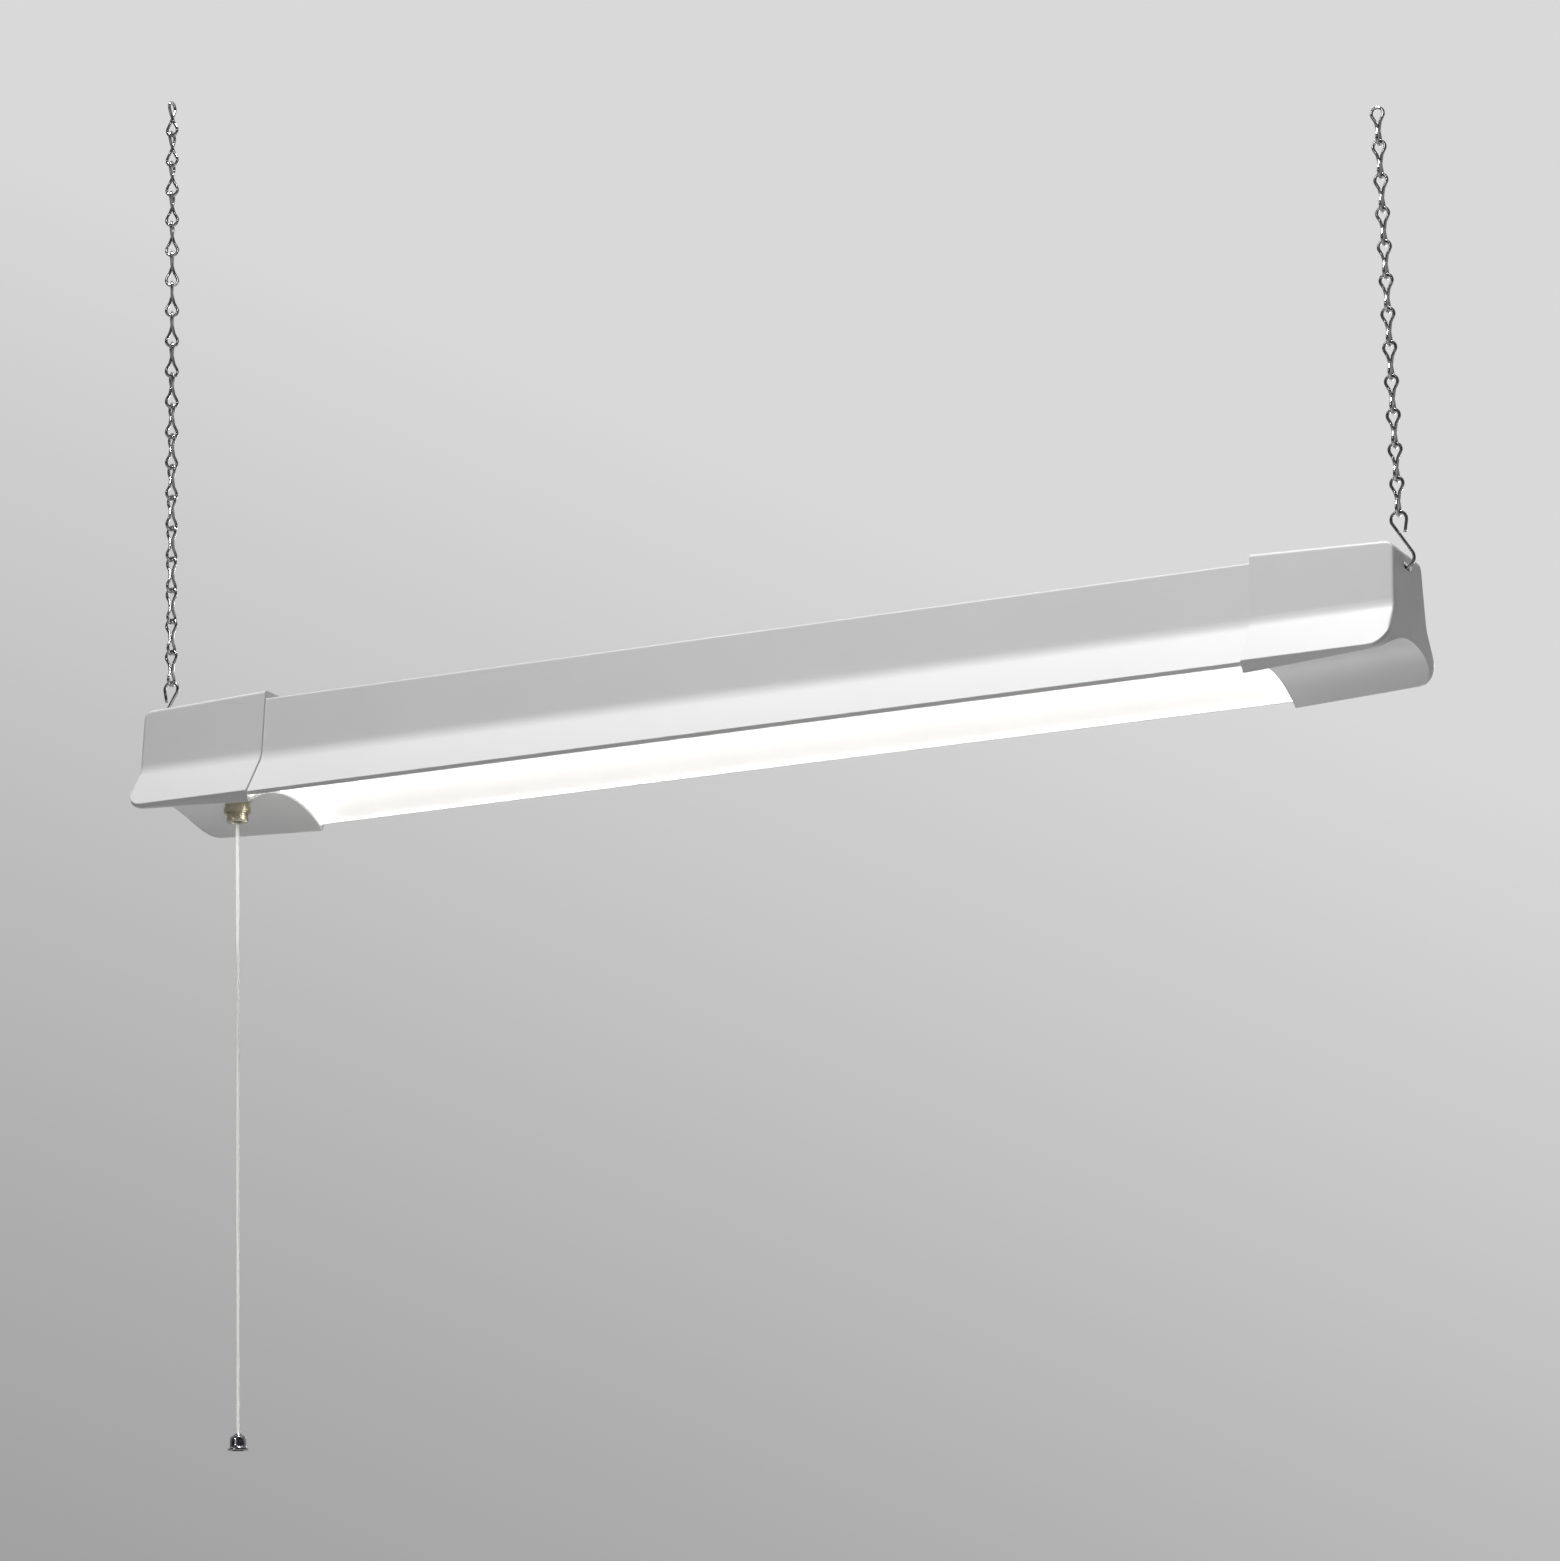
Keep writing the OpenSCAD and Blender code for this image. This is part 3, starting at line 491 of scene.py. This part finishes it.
# How far the two strands at a link's waist stand off its axis, along X and along Y
WAIST = WIRE_R * 0.72

# x is the chain's place, foot the height where its lowest link meets its hook, and twist the
# degrees by which each link is turned from the one below it
Chain = namedtuple("Chain", "x foot links twist")
LEFT_FOOT = -585.2 * MM
# The right hook's slack in its slot
HOOK_SLACK = 0.9 * MM
CHAINS = {
    "left": Chain(x=0, foot=LEFT_FOOT, links=19, twist=-5),
    "right": Chain(x=1220 * MM, foot=LEFT_FOOT - HOOK_SLACK, links=12, twist=0),
}


def link_path():
    """Centre line of a link: up round one eye, through the waist, and down round the other."""
    reach = (PITCH + CONTACT) / 2
    rise = reach - LOOP_R
    lean = math.degrees(math.asin(LOOP_R / rise))
    loop = arc_points(Vector((0, 0, rise)), LOOP_R, -lean, 180 + lean, LOOP_STEPS)
    rising = [loop[0] * LEG_LOW, loop[0] * LEG_HIGH]
    falling = [loop[-1] * LEG_HIGH, loop[-1] * LEG_LOW]
    upper = rising + loop + falling
    lower = [Vector((p.y, p.x, -p.z)) for p in reversed(upper)]
    return [Vector((WAIST, WAIST, 0))] + upper + [Vector((-WAIST, -WAIST, 0))] + lower


LINK = link_path()


def link_at(chain, index):
    """Centre line of one link of a chain. Index 0 is the lowest."""
    turn = Matrix.Rotation(math.radians(index * chain.twist), 4, "Z")
    centre = Vector((chain.x, 0, chain.foot + (index + 0.5) * PITCH))
    return [centre + turn @ p for p in LINK]


def links(tag, part, body, first, last):
    """Some neighbouring links of one chain as one piece, in place of their CAD node."""
    name = f"{tag}_{part}_wire"
    paths = [link_at(CHAINS[tag], i) for i in range(first, last + 1)]
    mesh = wire_mesh(name, paths, WIRE_R, LINK_SIDES, closed=True)
    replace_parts(mesh_object(name, mesh, "bright_steel", body), f"{tag}_{part}")


for tag, chain in CHAINS.items():
    top = chain.links - 1
    links(tag, "top_link", "ceiling_links", top, top)
    links(tag, "second_link", "upper_links", top - 1, top - 1)
    links(tag, "chain", tag + "_chain", 0, top - 2)

# ---- S-hooks: an eye round the chain's lowest link, a bar, and a bowl through the end wall ----

HOOK_SIDES = 16
HOOK_EYE_R = 7 * MM
HOOK_BOWL_R = 9 * MM
EYE_STEPS, BOWL_STEPS, BAR_STEPS = 28, 26, 4
EYE_DROP = HOOK_EYE_R - CONTACT / 2
# From the eye's centre to the bowl's
BOWL_STEP = Vector((3 * MM, 0, -35 * MM))
TAIL = 11 * MM
TAIL_ANGLE = -10
BOWL_END = -170


def hook_path():
    """Centre line of a hook from the foot of its chain: tail, eye, bar and bowl."""
    eye = Vector((0, 0, -EYE_DROP))
    bowl = eye + BOWL_STEP
    beta = math.degrees(math.acos((HOOK_EYE_R + HOOK_BOWL_R) / BOWL_STEP.length))
    leave = math.degrees(math.atan2(BOWL_STEP.z, BOWL_STEP.x)) - beta
    round_eye = arc_points(eye, HOOK_EYE_R, TAIL_ANGLE, leave + 360, EYE_STEPS)
    a = math.radians(TAIL_ANGLE)
    tip = round_eye[0] + TAIL * Vector((math.sin(a), 0, -math.cos(a)))
    tail = [tip.lerp(round_eye[0], k / BAR_STEPS) for k in range(BAR_STEPS)]
    round_bowl = arc_points(bowl, HOOK_BOWL_R, leave + 180, BOWL_END, BOWL_STEPS)
    bar = [round_eye[-1].lerp(round_bowl[0], k / BAR_STEPS) for k in range(1, BAR_STEPS)]
    return tail + round_eye + bar + round_bowl


def s_hook(tag, chain, way):
    """The hook of one chain. Its tail is on the outer side, which is -X or +X by way's sign."""
    name = tag + "_s_hook_wire"
    path = [Vector((chain.x + way * p.x, 0, chain.foot + p.z)) for p in hook_path()]
    hook = mesh_object(name, wire_mesh(name, [path], WIRE_R, HOOK_SIDES), "bright_steel", tag + "_hook")
    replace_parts(hook, tag + "_s_hook")


s_hook("left", CHAINS["left"], -1)
s_hook("right", CHAINS["right"], 1)

# ---- floor ----

FLOOR_Z = -2.2
FLOOR_HALF = 12
FLOOR_TONE = 0.26


def floor_finish():
    """Pale matt floor that shows at an even tone, and is clear from below."""
    s = Shader("floor_paint", grey(0.62), 0.8, Emission_Color=(1, 1, 1, 1))
    s.color(s.mottle(s.noise(scale=2, detail=3), low=grey(0.61), high=grey(0.63)))
    s.roughness(s.noise(scale=4, detail=3), low=0.75, high=0.85)
    s.link(s.math("MULTIPLY", s.seen_rays(), FLOOR_TONE), s.bsdf.inputs["Emission Strength"])
    underneath = s.node("ShaderNodeNewGeometry").outputs["Backfacing"]
    sides = s.switch(underneath, s.bsdf, s.node("ShaderNodeBsdfTransparent"))
    s.link(sides, s.tree.nodes["Material Output"].inputs["Surface"])
    s.material.cycles.emission_sampling = "NONE"
    return s.material


def make_floor():
    mesh = bpy.data.meshes.new("floor")
    signs = ((-1, -1), (1, -1), (1, 1), (-1, 1))
    corners = [(sx * FLOOR_HALF, sy * FLOOR_HALF, FLOOR_Z) for sx, sy in signs]
    mesh.from_pydata(corners, [], [(0, 1, 2, 3)])
    mesh.materials.append(floor_finish())
    floor = bpy.data.objects.new("floor", mesh)
    bpy.context.scene.collection.objects.link(floor)


make_floor()

# ---- backdrop: the world's tones, which stay where they are when the camera moves ----

AMBIENT = 0.115
# Which way the tones run, from up towards the first view's right, and where they start and end
BACKDROP_SLANT = 0.42
BACKDROP_LOW = -0.20
BACKDROP_HIGH = 0.06
BACKDROP_TONES = ((0.0, 0.36), (0.24, 0.42), (0.46, 0.495), (0.67, 0.575), (0.80, 0.62),
                  (0.93, 0.67), (1.0, 0.695))
# The room that metal mirrors: its dark end, and the stretch over which it turns pale
ROOM_DARK = 0.12
ROOM_TURNS = (-0.2, 0.4)


def backdrop_world():
    """Pale grey backdrop that darkens downwards to the left. Metal sees a darker room behind."""
    world = bpy.data.worlds.new("studio")
    bpy.context.scene.world = world
    world.use_nodes = True
    g = Graph(world.node_tree)
    g.tree.nodes.clear()
    way = g.node("ShaderNodeTexCoord").outputs["Generated"]

    def along(axis):
        dot = g.node("ShaderNodeVectorMath", operation="DOT_PRODUCT")
        g.link(way, dot.inputs[0])
        dot.inputs[1].default_value = axis
        return dot.outputs["Value"]

    ramp = g.node("ShaderNodeValToRGB")
    stops = ramp.color_ramp.elements
    stops[0].position, stops[1].position = BACKDROP_TONES[0][0], BACKDROP_TONES[-1][0]
    for position, _ in BACKDROP_TONES[1:-1]:
        stops.new(position)
    for stop, (_, tone) in zip(stops, BACKDROP_TONES):
        stop.color = (*grey(tone), 1)
    slant = along(up + BACKDROP_SLANT * right)
    g.link(g.spread(slant, BACKDROP_LOW, BACKDROP_HIGH, 0, 1), ramp.inputs["Fac"])
    shown = g.node("ShaderNodeBackground")
    g.link(ramp.outputs["Color"], shown.inputs["Color"])
    room = g.spread(along(ahead), *ROOM_TURNS, ROOM_DARK, 1)
    on_camera = g.node("ShaderNodeLightPath").outputs["Is Camera Ray"]
    g.link(g.math("MAXIMUM", room, on_camera), shown.inputs["Strength"])
    light = g.node("ShaderNodeBackground", Strength=AMBIENT)
    light.inputs["Color"].default_value = (1, 1, 1, 1)
    surface = g.switch(g.seen_rays(), light, shown)
    g.link(surface, g.node("ShaderNodeOutputWorld").inputs["Surface"])


backdrop_world()

# ---- lamps of the studio: places and sizes in metres, powers in watts, angles in degrees ----

SPOT_RADIUS = 0.01
CORD_LAMP_PLACE = (-0.4, -2.2, -0.726)


def place_lamp(data, place, aim):
    """Puts a lamp at a place, turned towards what it is aimed at."""
    obj = bpy.data.objects.new(data.name, data)
    bpy.context.scene.collection.objects.link(obj)
    obj.location = place
    obj.rotation_euler = (Vector(aim) - Vector(place)).to_track_quat("-Z", "Y").to_euler()
    return obj


def softbox(name, place, aim, size, power):
    data = bpy.data.lights.new(name, "AREA")
    data.shape = "RECTANGLE"
    data.size, data.size_y = size
    data.energy = power
    return place_lamp(data, place, aim)


def spot(name, place, aim, cone, blend, power):
    """Narrow lamp. Cone is its full angle, and blend how soft its edge is."""
    data = bpy.data.lights.new(name, "SPOT")
    data.spot_size = math.radians(cone)
    data.spot_blend = blend
    data.shadow_soft_size = SPOT_RADIUS
    data.energy = power
    return place_lamp(data, place, aim)


softbox("overhead", place=(0.87, -0.68, 1.8), aim=(0.87, 0, -0.67), size=(0.7, 0.6), power=71.5)
gleam = softbox("gleam", place=(0.56, -1.6, 0.45), aim=(1.15, -0.045, -0.665), size=(0.5, 0.12), power=3.5)
gleam.visible_diffuse = False
softbox("underside", place=(0.3, 1.35, -1.75), aim=(0.61, 0, -0.67), size=(1.6, 0.6), power=5.5)
softbox("low_front", place=(1.05, -0.9, -1.55), aim=(1.1, 0, -0.72), size=(0.6, 0.4), power=1)
back_fill = softbox("back_fill", place=(0.61, 2.6, -0.3), aim=(0.61, 0, -0.5), size=(1.6, 0.5), power=1.8)
back_fill.data.spread = math.radians(40)
spot("cord_light", CORD_LAMP_PLACE, aim=(0.072, 0, -1.026), cone=15.2, blend=0.1, power=78)
spot("cord_top_light", CORD_LAMP_PLACE, aim=(0.072, 0, -0.793), cone=3.4, blend=0.6, power=52)

bpy.context.scene.view_settings.view_transform = "Standard"
